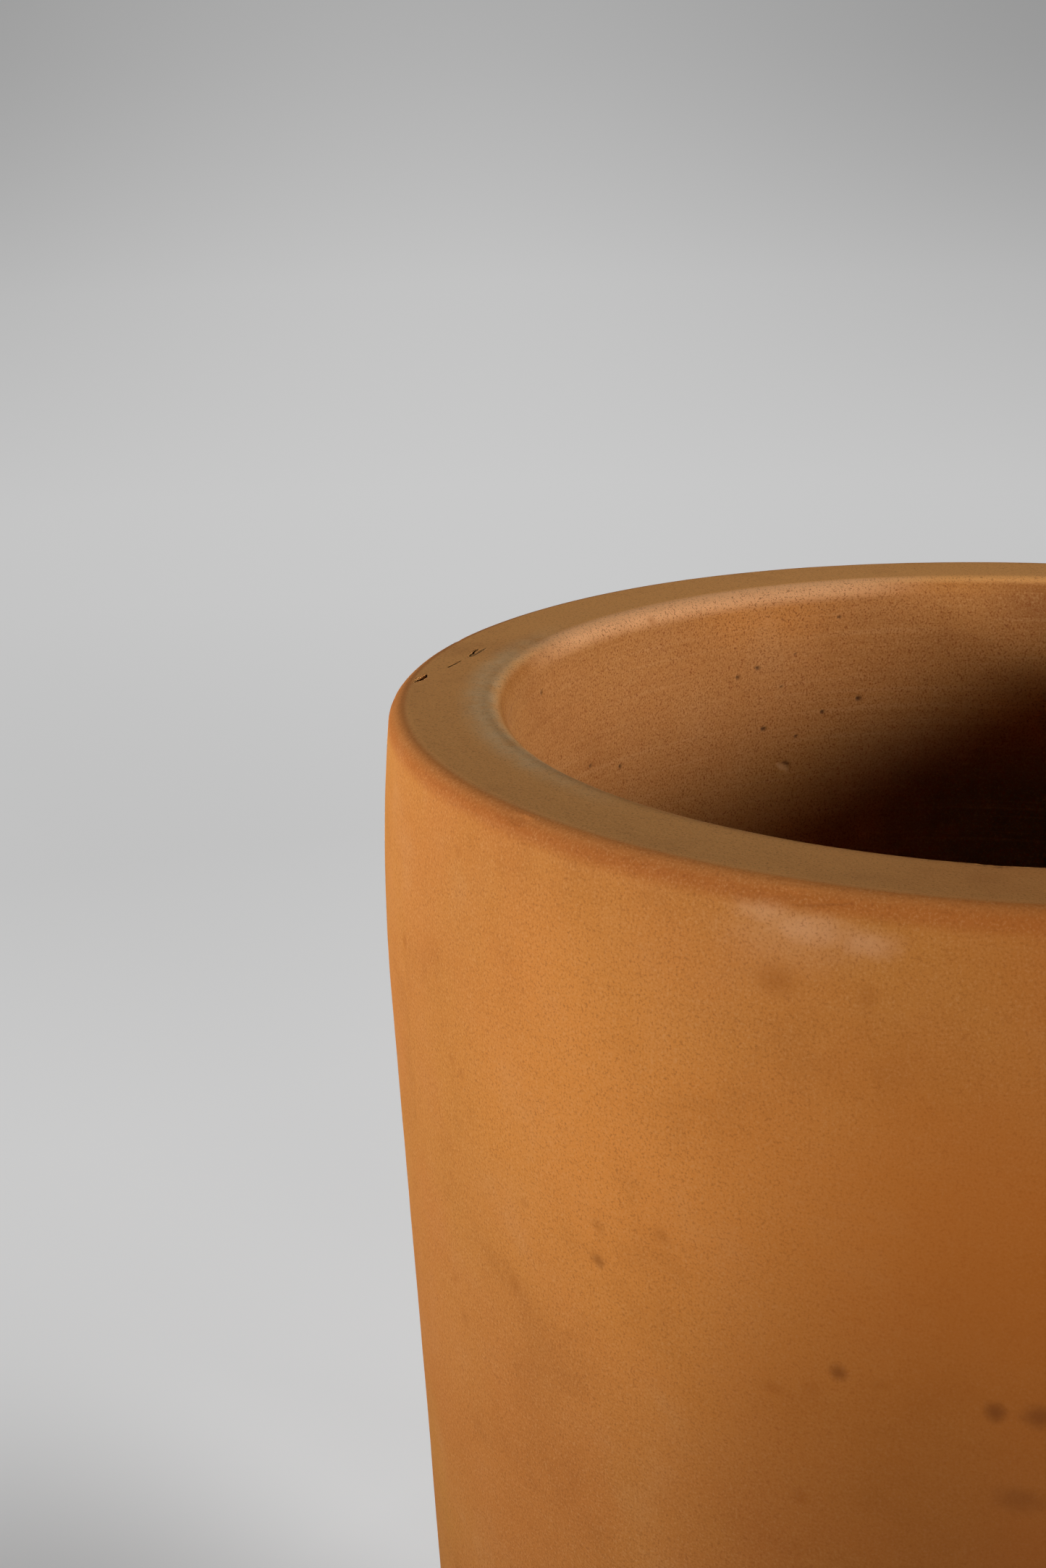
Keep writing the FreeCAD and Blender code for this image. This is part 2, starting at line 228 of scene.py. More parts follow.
def roundedSection(corners, closed):
    # a corner holds: radius, height, rounding, step to the next corner, share of inside finish
    points = []
    count = len(corners)
    for index, (radius, height, rounding, step, inside) in enumerate(corners):
        here = Vector((radius, height))
        before = Vector(corners[index - 1][:2])
        after = Vector(corners[(index + 1) % count][:2])
        if rounding > 0:
            back = (before - here).normalized()
            on = (after - here).normalized()
            half = back.angle(on) / 2
            start = here + back * rounding / math.tan(half)
            end = here + on * rounding / math.tan(half)
            centre = here + (back + on).normalized() * rounding / math.sin(half)
            sweep = math.pi - 2 * half
            side = 1 if back.x * on.y - back.y * on.x < 0 else -1
            bends = min(9, max(4, round(sweep * rounding / bendLength)))
            first = math.atan2(start.y - centre.y, start.x - centre.x)
            previous = corners[index - 1][4]
            for bend in range(bends + 1):
                share = bend / bends
                turn = first + side * sweep * share
                spot = centre + Vector((math.cos(turn), math.sin(turn))) * rounding
                points.append((spot, previous + (inside - previous) * share))
        else:
            start = end = here
            points.append((here, inside))
        if index == count - 1 and not closed:
            break
        nextRounding = corners[(index + 1) % count][2]
        nextPoint = after
        if nextRounding > 0:
            beyond = Vector(corners[(index + 2) % count][:2])
            half = (here - after).angle(beyond - after) / 2
            nextPoint = after + (here - after).normalized() * nextRounding / math.tan(half)
        run = (nextPoint - end).length
        steps = max(1, round(run / step))
        for part in range(1, steps):
            points.append((end.lerp(nextPoint, part / steps), inside))
    return points


def makeTurned(name, section, closed, clay, settings):
    mesh = bpy.data.meshes.new(name)
    edges = [(i, i + 1) for i in range(len(section) - 1)]
    mesh.from_pydata([(spot.x, 0.0, spot.y) for spot, inside in section], edges, [])
    share = mesh.attributes.new("inside", "FLOAT", "POINT")
    share.data.foreach_set("value", [inside for spot, inside in section])
    piece = bpy.data.objects.new(name, mesh)
    bpy.context.scene.collection.objects.link(piece)
    modifier = piece.modifiers.new("turnedClay", "NODES")
    modifier.node_group = turnedClayTree
    wanted = {**settings, "Closed Section": closed, "Clay": clay}
    for item in turnedClayTree.interface.items_tree:
        if item.name in wanted:
            modifier[item.identifier] = wanted[item.name]
    graph = bpy.context.evaluated_depsgraph_get()
    formed = bpy.data.meshes.new_from_object(piece.evaluated_get(graph), preserve_all_data_layers=True,
                                             depsgraph=graph)
    formed.name = name
    formed.polygons.foreach_set("material_index", [0] * len(formed.polygons))
    formed.materials.clear()
    formed.materials.append(clay)
    piece.modifiers.clear()
    piece.data = formed
    bpy.data.meshes.remove(mesh)
    print(f"{name}: turned, {len(formed.polygons)} faces")
    return piece


# clay after firing: mottled body, fine grain, turning lines, iron spots, worn and dusty rim, painted shade and a
# painted highlight

clayLook = {
    "body": srgb(204, 131, 60),
    "warm": srgb(194, 112, 44),
    "yellow": srgb(202, 138, 56),
    "pale": srgb(220, 164, 104),
    "dark": srgb(148, 82, 34),
    "spot": srgb(126, 66, 16),
    "stain": srgb(172, 98, 30),
    # painted shade inside the pits
    "pit": srgb(84, 50, 26),
    # painted shade on the outer rounding of the rim
    "edge": srgb(180, 99, 36),
    # painted shade, on the lower front outside and just under the rim inside
    "paintedShade": srgb(112, 56, 15),
    "blush": srgb(192, 105, 27),
    # lighter patches; the one on the inside wall under the rim is painted light
    "lighterPatch": srgb(226, 144, 62),
    "scuff": srgb(226, 166, 114),
    # painted highlight just inside the rim at the back-left
    "lip": srgb(246, 184, 128),
    "dust": srgb(234, 196, 144),
    # painted shade low on the inside wall
    "paintedDeepShade": srgb(116, 98, 78),
    "rim": srgb(238, 170, 97),
    "inner": srgb(191, 129, 70),
    "grainSize": 1500.0,    # textures are in repeats per metre
    "lineSize": 1300.0,
    "lineStretch": 22.0,
    "cloudSize": 16.0,
    "blotchSize": 75.0,
    "spotSize": 62.0,
    "raggedSize": 700.0,
    "dustSize": 260.0,
}
clayMix = {    # how strongly each pattern shows
    "warm": 0.45,
    "yellow": 0.40,
    "inner": 0.75,
    "edge": 0.70,
    "rim": (0.15, 0.90),    # at the outer edge, further in
    "darkBlotch": 0.24,
    "paleBlotch": 0.16,
    "line": 0.05,
    "insideLine": 0.13,    # added to line
    "insideGrit": 1.4,    # coarser to the eye where it was not smoothed
    "darkGrain": 0.26,
    "paleGrain": 0.22,
    "darkSpeck": 0.50,
    "paleSpeck": 0.34,
    "freckle": 0.45,
    "chip": 0.70,
    "pit": 0.85,
}
clayRelief = {"grain": 0.55, "speck": 0.25, "line": 1.6, "freckle": -0.9, "strength": 0.5, "depth": 0.12 * mm}
clayGloss = {"rough": (0.84, 0.97), "specular": 0.25, "diffuse": 0.3}
clayShades = {
    # towards: the side it lies on, with the shares of the radius where it starts and is full
    # drop: below the top, where it starts and is full
    # painted shade low on the inside wall at the back-right
    "paintedDeepShade": {"towards": (0.6, 0.8, 0.0), "start": 0.30, "full": 0.80, "drop": (17 * mm, 34 * mm)},
    # painted highlight just inside the rim at the back-left
    "lip": {"towards": (-0.766, 0.643, 0.0), "start": 0.80, "full": 0.96, "drop": (3.2 * mm, 1.3 * mm),
            "out": (3.0 * mm, 2.0 * mm), "share": 0.95},
    "dust": {"towards": (-0.956, -0.292, 0.0), "start": 0.82, "full": 1.03, "drop": (1.6 * mm, 0.7 * mm),
             "out": (6.5 * mm, 3.2 * mm), "in": (0.8 * mm, 2.2 * mm), "share": (0.25, 0.75)},
    "fired": {"towards": (0.309, -0.951, 0.0), "start": 0.66, "full": 1.00, "drop": (24 * mm, 66 * mm),
              "share": 0.46, "fade": 160 * mm, "faded": 0.7},    # painted shade: darker towards the bottom on the front outside
}


def blend(tree, share, first, second):
    made = addNode(tree, "ShaderNodeMix", {0: share, 6: first, 7: second}, data_type="RGBA")
    return made.outputs[2]


def times(tree, *values):
    total = values[0]
    for value in values[1:]:
        total = calc(tree, "MULTIPLY", total, value)
    return total


def stainMask(tree, place, stains, seed):    # soft ragged stains at chosen places
    fine = noise(tree, place, 900.0, 3.0, 0.6, seed)
    broad = noise(tree, place, 45.0, 4.0, 0.6, seed)
    total = None
    for spot, size, stretch, strength in stains:
        wide = size > 5 * mm
        offset = aim(tree, "SUBTRACT", place, tuple(spot))
        if stretch != 1:
            along = Vector((-spot.y, spot.x, 0.0)).normalized()
            share = calc(tree, "MULTIPLY", aim(tree, "DOT_PRODUCT", offset, tuple(along)), 1 / stretch - 1)
            offset = aim(tree, "ADD", offset, aim(tree, "SCALE", tuple(along), scale=share))
        distance = aim(tree, "LENGTH", offset)
        distance = calc(tree, "MULTIPLY_ADD", broad if wide else fine, 0.6 * size, distance)
        mask = ramp(tree, distance, 1.35 * size, 0.35 * size, 0.0, strength)
        total = mask if total is None else calc(tree, "MAXIMUM", total, mask)
    return total


def facingShare(tree, place, shade, radius, share=1.0):    # full on the side that the shade lies on
    facing = aim(tree, "DOT_PRODUCT", place, shade["towards"])
    return ramp(tree, facing, shade["start"] * radius, shade["full"] * radius, 0.0, share)


def makeClay(name, look, topZ, lipRadius, rimRadius, seed, stains):
    clay = bpy.data.materials.new(name)
    clay.use_nodes = True
    tree = clay.node_tree
    shader = tree.nodes["Principled BSDF"]
    place = tree.nodes.new("ShaderNodeTexCoord").outputs["Object"]
    parts = addNode(tree, "ShaderNodeSeparateXYZ", {0: place})
    height = parts.outputs["Z"]
    across = aim(tree, "LENGTH", aim(tree, "MULTIPLY", place, (1.0, 1.0, 0.0)))
    inside = addNode(tree, "ShaderNodeAttribute", attribute_name="inside").outputs["Fac"]
    pitted = addNode(tree, "ShaderNodeAttribute", attribute_name="pitted").outputs["Fac"]
    chipped = addNode(tree, "ShaderNodeAttribute", attribute_name="chipped").outputs["Fac"]
    mix = clayMix

    # patterns
    cloud = ramp(tree, noise(tree, place, look["cloudSize"], 3.0, 0.55, seed), 0.35, 0.65)
    second = ramp(tree, noise(tree, place, 2.3 * look["cloudSize"], 3.0, 0.55, seed + 5), 0.38, 0.66)
    blotch = noise(tree, place, look["blotchSize"], 5.0, 0.62, seed + 1)
    grain = noise(tree, place, look["grainSize"], 3.0, 0.65, seed + 2)
    speck = noise(tree, place, 2.6 * look["grainSize"], 2.0, 0.6, seed + 3)
    wheelPlace = addNode(tree, "ShaderNodeCombineXYZ", {
        "X": calc(tree, "MULTIPLY", parts.outputs["X"], look["lineStretch"]),
        "Y": calc(tree, "MULTIPLY", parts.outputs["Y"], look["lineStretch"]),
        "Z": calc(tree, "MULTIPLY", calc(tree, "ADD", height, across), look["lineSize"]),
    }).outputs[0]
    lines = noise(tree, wheelPlace, 1.0, 3.0, 0.6, seed + 4)
    cells = addNode(tree, "ShaderNodeTexVoronoi", {"Vector": place, "Scale": look["spotSize"]})
    ragged = noise(tree, place, look["raggedSize"], 3.0, 0.6, seed + 6)
    chance = addNode(tree, "ShaderNodeSeparateColor", {0: cells.outputs["Color"]})
    radius = ramp(tree, chance.outputs[0], 0.72, 1.0, 0.0, 0.075)
    freckle = calc(tree, "SUBTRACT", radius,
                   calc(tree, "MULTIPLY_ADD", ragged, 0.05, cells.outputs["Distance"]))
    freckles = ramp(tree, freckle, -0.045, 0.02)

    # body colour, and painted shade low on the inside wall at the back-right
    colour = blend(tree, times(tree, cloud, mix["warm"]), look["body"], look["warm"])
    colour = blend(tree, times(tree, second, mix["yellow"]), colour, look["yellow"])
    colour = blend(tree, times(tree, inside, mix["inner"]), colour, look["inner"])
    shade = clayShades["paintedDeepShade"]
    start, full = (topZ - drop for drop in shade["drop"])
    paintedDeepShade = times(tree, inside, ramp(tree, height, start, full), facingShare(tree, place, shade, lipRadius))
    colour = blend(tree, paintedDeepShade, colour, look["paintedDeepShade"])
    # painted shade and painted light on the inside wall under the rim, a lighter patch outside, and rubbed
    # streaks
    for kind in ("paintedShade", "lighterPatch", "scuff"):
        if kind in stains:
            colour = blend(tree, stainMask(tree, place, stains[kind], seed), colour, look[kind])

    # rim: painted shade on the outer rounding, worn flat top, painted highlight just inside the rim at the
    # back-left, and dust
    edge = times(tree, ramp(tree, height, topZ - 3.2 * mm, topZ - 1.7 * mm),
                 calc(tree, "SUBTRACT", mix["edge"], inside))
    colour = blend(tree, edge, colour, look["edge"])
    rim = times(tree, ramp(tree, across, rimRadius - 1.6 * mm, rimRadius - 2.3 * mm, *mix["rim"]),
                ramp(tree, height, topZ - 1.3 * mm, topZ - 0.6 * mm))
    colour = blend(tree, rim, colour, look["rim"])
    shade = clayShades["lip"]
    start, full = (topZ - drop for drop in shade["drop"])
    outer, inner = (lipRadius + out for out in shade["out"])
    paintedLipHighlight = times(tree, ramp(tree, across, outer, inner), ramp(tree, height, start, full),
                  facingShare(tree, place, shade, lipRadius, shade["share"]))
    colour = blend(tree, paintedLipHighlight, colour, look["lip"])
    shade = clayShades["dust"]
    start, full = (topZ - drop for drop in shade["drop"])
    outer, inner = (lipRadius + out for out in shade["out"])
    near, far = (lipRadius + out for out in shade["in"])
    patchy = ramp(tree, noise(tree, place, look["dustSize"], 5.0, 0.7, seed + 7), 0.34, 0.60, *shade["share"])
    heap = times(tree, ramp(tree, across, outer, inner), ramp(tree, across, near, far),
                 ramp(tree, height, start, full), facingShare(tree, place, shade, lipRadius), patchy)
    colour = blend(tree, heap, colour, look["dust"])

    # blotches, turning lines and grain
    colour = blend(tree, ramp(tree, blotch, 0.50, 0.74, 0.0, mix["darkBlotch"]), colour, look["dark"])
    colour = blend(tree, ramp(tree, blotch, 0.46, 0.26, 0.0, mix["paleBlotch"]), colour, look["pale"])
    lineShare = calc(tree, "MULTIPLY_ADD", inside, mix["insideLine"], mix["line"])
    colour = blend(tree, times(tree, ramp(tree, lines, 0.52, 0.70), lineShare), colour, look["dark"])
    colour = blend(tree, times(tree, ramp(tree, lines, 0.48, 0.32), lineShare), colour, look["pale"])
    grit = calc(tree, "MULTIPLY_ADD", inside, mix["insideGrit"], 1.0)
    darkGrain = ramp(tree, grain, 0.54, 0.78, 0.0, mix["darkGrain"])
    colour = blend(tree, times(tree, darkGrain, grit), colour, look["dark"])
    colour = blend(tree, ramp(tree, grain, 0.44, 0.20, 0.0, mix["paleGrain"]), colour, look["pale"])
    darkSpeck = ramp(tree, speck, 0.50, 0.72, 0.0, mix["darkSpeck"])
    colour = blend(tree, times(tree, darkSpeck, grit), colour, look["dark"])
    colour = blend(tree, ramp(tree, speck, 0.49, 0.30, 0.0, mix["paleSpeck"]), colour, look["pale"])
    colour = blend(tree, times(tree, freckles, mix["freckle"]), colour, look["stain"])

    # a deeper orange patch, painted shade on the lower front outside, then iron stains and torn places, with
    # painted shade in the pits
    if "blush" in stains:
        colour = blend(tree, stainMask(tree, place, stains["blush"], seed), colour, look["blush"])
    shade = clayShades["fired"]
    start, full = (topZ - drop for drop in shade["drop"])
    fired = times(tree, calc(tree, "SUBTRACT", 1.0, inside),
                  ramp(tree, height, start, full, 0.0, shade["share"]),
                  ramp(tree, height, topZ - shade["fade"], full, shade["faded"], 1.0),
                  facingShare(tree, place, shade, rimRadius))
    colour = blend(tree, fired, colour, look["paintedShade"])
    for kind in ("stain", "spot"):
        if kind in stains:
            colour = blend(tree, stainMask(tree, place, stains[kind], seed), colour, look[kind])
    colour = blend(tree, times(tree, chipped, mix["chip"]), colour, look["pale"])
    # painted shade inside the pits
    colour = blend(tree, times(tree, pitted, mix["pit"]), colour, look["pit"])
    tree.links.new(colour, shader.inputs["Base Color"])

    # matt, a little smoother where the clay was rubbed
    rough = ramp(tree, blotch, 0.3, 0.7, *clayGloss["rough"])
    tree.links.new(rough, shader.inputs["Roughness"])
    shader.inputs["Specular IOR Level"].default_value = clayGloss["specular"]
    shader.inputs["Diffuse Roughness"].default_value = clayGloss["diffuse"]

    # fine relief
    relief = calc(tree, "MULTIPLY", grain, clayRelief["grain"])
    relief = calc(tree, "MULTIPLY_ADD", speck, clayRelief["speck"], relief)
    relief = calc(tree, "MULTIPLY_ADD", times(tree, lines, lineShare), clayRelief["line"], relief)
    relief = calc(tree, "MULTIPLY_ADD", freckles, clayRelief["freckle"], relief)
    bump = addNode(tree, "ShaderNodeBump", {
        "Height": relief, "Strength": clayRelief["strength"], "Distance": clayRelief["depth"],
    })
    tree.links.new(bump.outputs[0], shader.inputs["Normal"])
    return clay


turnedClayTree = makeTurnedClayTree()

# pot

potSizes = {
    "shoulderRadius": 228 * mm,    # bow of the upper wall, in section
    "bellyDrop": 23.7 * mm,    # widest place, below the rim
    "wallDraft": math.radians(2.4),
    "mouthRadius": bellyRadius - 15 * mm,
    "cavityDraft": math.radians(1.9),
    "floorTop": 15 * mm,    # above the foot
    "footHeight": 3 * mm,
    "footRing": 11 * mm,
    "outerLip": 2.0 * mm,
    "innerLip": 3.2 * mm,
    "cavityCorner": 9 * mm,
    "footEdge": 2.0 * mm,
    "drainEdge": 1.5 * mm,
    "fineWall": 55 * mm,    # the inside wall has finer steps down to here, below the rim
    "wallStep": 1.25 * mm,
    "rimStep": 0.6 * mm,
    "deepStep": 2.5 * mm,
    "columns": 280,
}


def potWallRadius(height):    # outside of the pot, at a height above the foot
    centre = rimZ - footZ - potSizes["bellyDrop"]
    bow = potSizes["shoulderRadius"]
    draft = potSizes["wallDraft"]
    straightTop = centre - bow * math.sin(draft)
    inset = bow - bellyRadius
    if height > straightTop:
        return math.sqrt(bow ** 2 - (height - centre) ** 2) - inset
    return bow * math.cos(draft) - inset - (straightTop - height) * math.tan(draft)


def potSection():
    size = potSizes
    height = rimZ - footZ
    footRadius = potWallRadius(0)
    lipRadius = potWallRadius(height)
    floorRadius = size["mouthRadius"] - (height - size["floorTop"]) * math.tan(size["cavityDraft"])
    recess = footRadius - size["footRing"]
    middle = size["fineWall"]
    middleRadius = size["mouthRadius"] - middle * math.tan(size["cavityDraft"])
    foot = size["footHeight"]
    corners = (
        (drainRadius, foot, 0.8 * mm, 3.0 * mm, 0.0),
        (recess, foot, 1.0 * mm, 0.6 * mm, 0.0),
        (recess, 0.0, 0.8 * mm, 1.5 * mm, 0.0),
        (footRadius, 0.0, size["footEdge"], size["wallStep"], 0.0),
        (lipRadius, height, size["outerLip"], size["rimStep"], 0.0),
        (size["mouthRadius"], height, size["innerLip"], size["wallStep"], 1.0),
        (middleRadius, height - middle, 0.0, size["deepStep"], 1.0),
        (floorRadius, size["floorTop"], size["cavityCorner"], 2.5 * mm, 1.0),
        (drainRadius, size["floorTop"], size["drainEdge"], 2.0 * mm, 1.0),
    )
    points = []
    for spot, inside in roundedSection(corners, closed=True):
        chord = footRadius + (lipRadius - footRadius) * spot.y / height
        if inside == 0.0 and spot.x > chord - 0.01 * mm - size["outerLip"] and spot.y > size["footEdge"]:
            bow = potWallRadius(spot.y) - chord
            spot = Vector((spot.x + bow, spot.y))
        points.append((spot + Vector((0.0, footZ)), inside))
    return points


def potPlace(zone, turn, along):
    # a point of the pot and its outward direction: along is a radius on the rim, else a drop below it
    turn = math.radians(turn)
    around = Vector((math.cos(turn), math.sin(turn), 0.0))
    if zone == "rim":
        return around * along + Vector((0, 0, rimZ)), Vector((0, 0, 1))
    if zone == "outside":
        return around * potWallRadius(rimZ - footZ - along) + Vector((0, 0, rimZ - along)), around
    radius = potSizes["mouthRadius"] - along * math.tan(potSizes["cavityDraft"])
    return around * radius + Vector((0, 0, rimZ - along)), -around


potStains = (
    # kind, zone, degrees round, distance along, size, stretch round the pot, strength
    ("blush", "outside", -77, 42 * mm, 70 * mm, 0.8, 0.85),    # deeper orange on the front
    # painted shade on the inside wall just under the rim at the back
    ("paintedShade", "inside", 75, 3.5 * mm, 7 * mm, 6.0, 0.70),
    # painted light on the inside wall just under the rim at the back-left
    ("lighterPatch", "inside", 128, 3 * mm, 7 * mm, 2.6, 0.40),
    ("lighterPatch", "outside", -117, 31 * mm, 36 * mm, 1.0, 0.80),    # lighter patch on the front-left outside
    ("scuff", "outside", -107, 3 * mm, 1.9 * mm, 2.6, 0.70),    # rubbed streak under the rim
    ("scuff", "outside", -104, 4 * mm, 2.5 * mm, 2.6, 0.85),
    ("scuff", "outside", -100, 4.5 * mm, 2.0 * mm, 2.2, 0.75),
    ("scuff", "outside", -105, 5 * mm, 4.2 * mm, 2.4, 0.30),
    ("stain", "outside", -106, 9 * mm, 2.2 * mm, 1.4, 0.50),
    ("spot", "outside", -101, 46.5 * mm, 1.3 * mm, 1.0, 0.70),    # row of iron spots across the front
    ("spot", "outside", -90, 48 * mm, 1.5 * mm, 1.0, 0.80),
    ("spot", "outside", -87, 48 * mm, 1.9 * mm, 1.3, 0.70),
    ("spot", "outside", -88, 57 * mm, 2.0 * mm, 1.8, 0.45),
    ("stain", "outside", -106, 50 * mm, 1.2 * mm, 1.9, 0.45),
    ("stain", "outside", -103, 49 * mm, 1.4 * mm, 1.0, 0.40),
    ("stain", "outside", -98, 47 * mm, 1.0 * mm, 1.6, 0.50),
    ("spot", "outside", -121, 43 * mm, 1.1 * mm, 1.0, 0.45),
    ("stain", "outside", -121, 39 * mm, 1.3 * mm, 1.0, 0.40),
)
faintStains = {"seed": 12, "count": 12, "turns": (-145, -95), "drops": (6 * mm, 62 * mm), "strength": 0.36}


def potStainsByKind():
    found = {}
    chance = random.Random(faintStains["seed"])
    faint = [
        ("stain", "outside", chance.uniform(*faintStains["turns"]), chance.uniform(*faintStains["drops"]),
         chance.uniform(0.9, 1.6) * mm, 1.0, faintStains["strength"])
        for number in range(faintStains["count"])
    ]
    for kind, zone, turn, along, size, stretch, strength in list(potStains) + faint:
        found.setdefault(kind, []).append((potPlace(zone, turn, along)[0], size, stretch, strength))
    return found


potRimRadius = potWallRadius(rimZ - footZ)
potClay = makeClay("potClay", clayLook, rimZ, potSizes["mouthRadius"], potRimRadius, 3.0, potStainsByKind())

pot = makeTurned("terracottaPot", potSection(), True, potClay, {
    "Columns": potSizes["columns"],
    "Wobble": 0.35 * mm,
    "Lumps": 0.10 * mm,
    "Turning Rings": 0.05 * mm,
    "Grain": 0.05 * mm,
    "Notch Count": 3,
    "Notch Width": 10 * mm,
    "Notch Height": 3 * mm,
    "Notch Radius": 64 * mm,
    "Foot Height": footZ,
    "Seed": 3.0,
})

# saucer

saucerSizes = {
    "floor": 8 * mm,
    "wall": 7.5 * mm,
    "flare": math.radians(5),
    "clearance": 6 * mm,
    "footRing": 12 * mm,
    "recess": 1.5 * mm,
    "rimEdge": 2.6 * mm,
    "wellCorner": 4 * mm,
    "baseEdge": 1.8 * mm,
    "columns": 300,
}


def saucerSection():
    size = saucerSizes
    height = saucerHigh.z
    lean = math.tan(size["flare"])
    wellRadius = potWallRadius(0) + size["clearance"]
    wellRim = wellRadius + (height - size["floor"]) * lean
    rimRadius = wellRim + size["wall"]
    baseRadius = rimRadius - height * lean
    ring = baseRadius - size["footRing"]
    corners = (
        (0.0, size["recess"], 0.0, 4.0 * mm, 0.0),
        (ring, size["recess"], 0.6 * mm, 0.5 * mm, 0.0),
        (ring, 0.0, 0.6 * mm, 1.6 * mm, 0.0),
        (baseRadius, 0.0, size["baseEdge"], 1.2 * mm, 0.0),
        (rimRadius, height, size["rimEdge"], 0.6 * mm, 0.0),
        (wellRim, height, size["rimEdge"], 1.2 * mm, 1.0),
        (wellRadius, size["floor"], size["wellCorner"], 1.6 * mm, 1.0),
        (0.0, size["floor"], 0.0, 1.0, 1.0),
    )
    return roundedSection(corners, closed=False)


saucerWell = saucerHigh.x - saucerSizes["wall"]
saucerClay = makeClay("saucerClay", clayLook, saucerHigh.z, saucerWell, saucerHigh.x, 21.0, {})
saucer = makeTurned("claySaucer", saucerSection(), False, saucerClay, {
    "Columns": saucerSizes["columns"],
    "Wobble": 0.30 * mm,
    "Lumps": 0.10 * mm,
    "Turning Rings": 0.14 * mm,
    "Grain": 0.05 * mm,
    "Notch Count": 0,
    "Seed": 11.0,
})

# single marks in the pot's clay, cut into a finer patch of its mesh

potFlaws = (
    # kind, zone, degrees round, distance along, length, width, depth, slant in degrees
    ("pit", "rim", 186, 71 * mm, 3.0 * mm, 0.7 * mm, 0.55 * mm, -14),    # torn pit near the outer edge
    ("chip", "rim", 175, 67.5 * mm, 5.2 * mm, 0.55 * mm, 0.10 * mm, -3),    # torn line with pale crumbs
    ("pit", "rim", 175, 68 * mm, 4.0 * mm, 0.30 * mm, 0.22 * mm, 2),
    ("pit", "rim", 180, 68.5 * mm, 4.0 * mm, 0.26 * mm, 0.16 * mm, -12),
    ("dent", "rim", 170, 73.5 * mm, 3.0 * mm, 2.0 * mm, 0.40 * mm, 0),    # soft nick in the outline
    ("dent", "rim", 230, 73 * mm, 2.6 * mm, 1.0 * mm, 0.18 * mm, 4),
    ("chip", "rim", 268, 62.5 * mm, 3.6 * mm, 1.2 * mm, 0.30 * mm, 0),
    ("dent", "outside", 253, 1.5 * mm, 6.0 * mm, 1.0 * mm, 0.22 * mm, 7),    # worn above the rubbed streak
    ("dent", "outside", 258, 2 * mm, 7.0 * mm, 1.1 * mm, 0.26 * mm, 5),
    ("dent", "outside", 231, 27 * mm, 4.4 * mm, 0.40 * mm, 0.08 * mm, -26),    # old scratch
    ("pit", "inside", 132, 12 * mm, 0.7 * mm, 0.6 * mm, 0.35 * mm, 0),
    ("pit", "inside", 114, 17 * mm, 0.8 * mm, 0.7 * mm, 0.40 * mm, 0),
    ("pit", "inside", 128, 20 * mm, 1.1 * mm, 0.6 * mm, 0.30 * mm, 8),
    ("chip", "inside", 125, 26 * mm, 2.2 * mm, 0.9 * mm, 0.30 * mm, -25),
    ("pit", "inside", 124.5, 25.5 * mm, 1.4 * mm, 0.45 * mm, 0.30 * mm, -25),
)
sandPits = {
    "seed": 5, "count": 11, "turns": (108, 178), "drops": (5 * mm, 22 * mm), "sizes": (0.5, 0.9), "narrow": 0.7,
    "depth": 0.22 * mm, "slant": 20,
}
flawSettings = {
    "cuts": 4, "reach": 0.8 * mm, "raggedness": 0.45, "raggedSize": 1.7, "around": 4 * mm, "through": 2 * mm,
    "edge": 1.25, "fade": 0.75,
}


def potMarks():    # the flaws above, and small sand pits scattered over the inside wall
    chance = random.Random(sandPits["seed"])
    scattered = []
    for number in range(sandPits["count"]):
        size = chance.uniform(*sandPits["sizes"]) * mm
        turn = chance.uniform(*sandPits["turns"])
        drop = chance.uniform(*sandPits["drops"])
        slant = chance.uniform(-sandPits["slant"], sandPits["slant"])
        scattered.append(("pit", "inside", turn, drop, size, sandPits["narrow"] * size, sandPits["depth"], slant))
    return list(potFlaws) + scattered


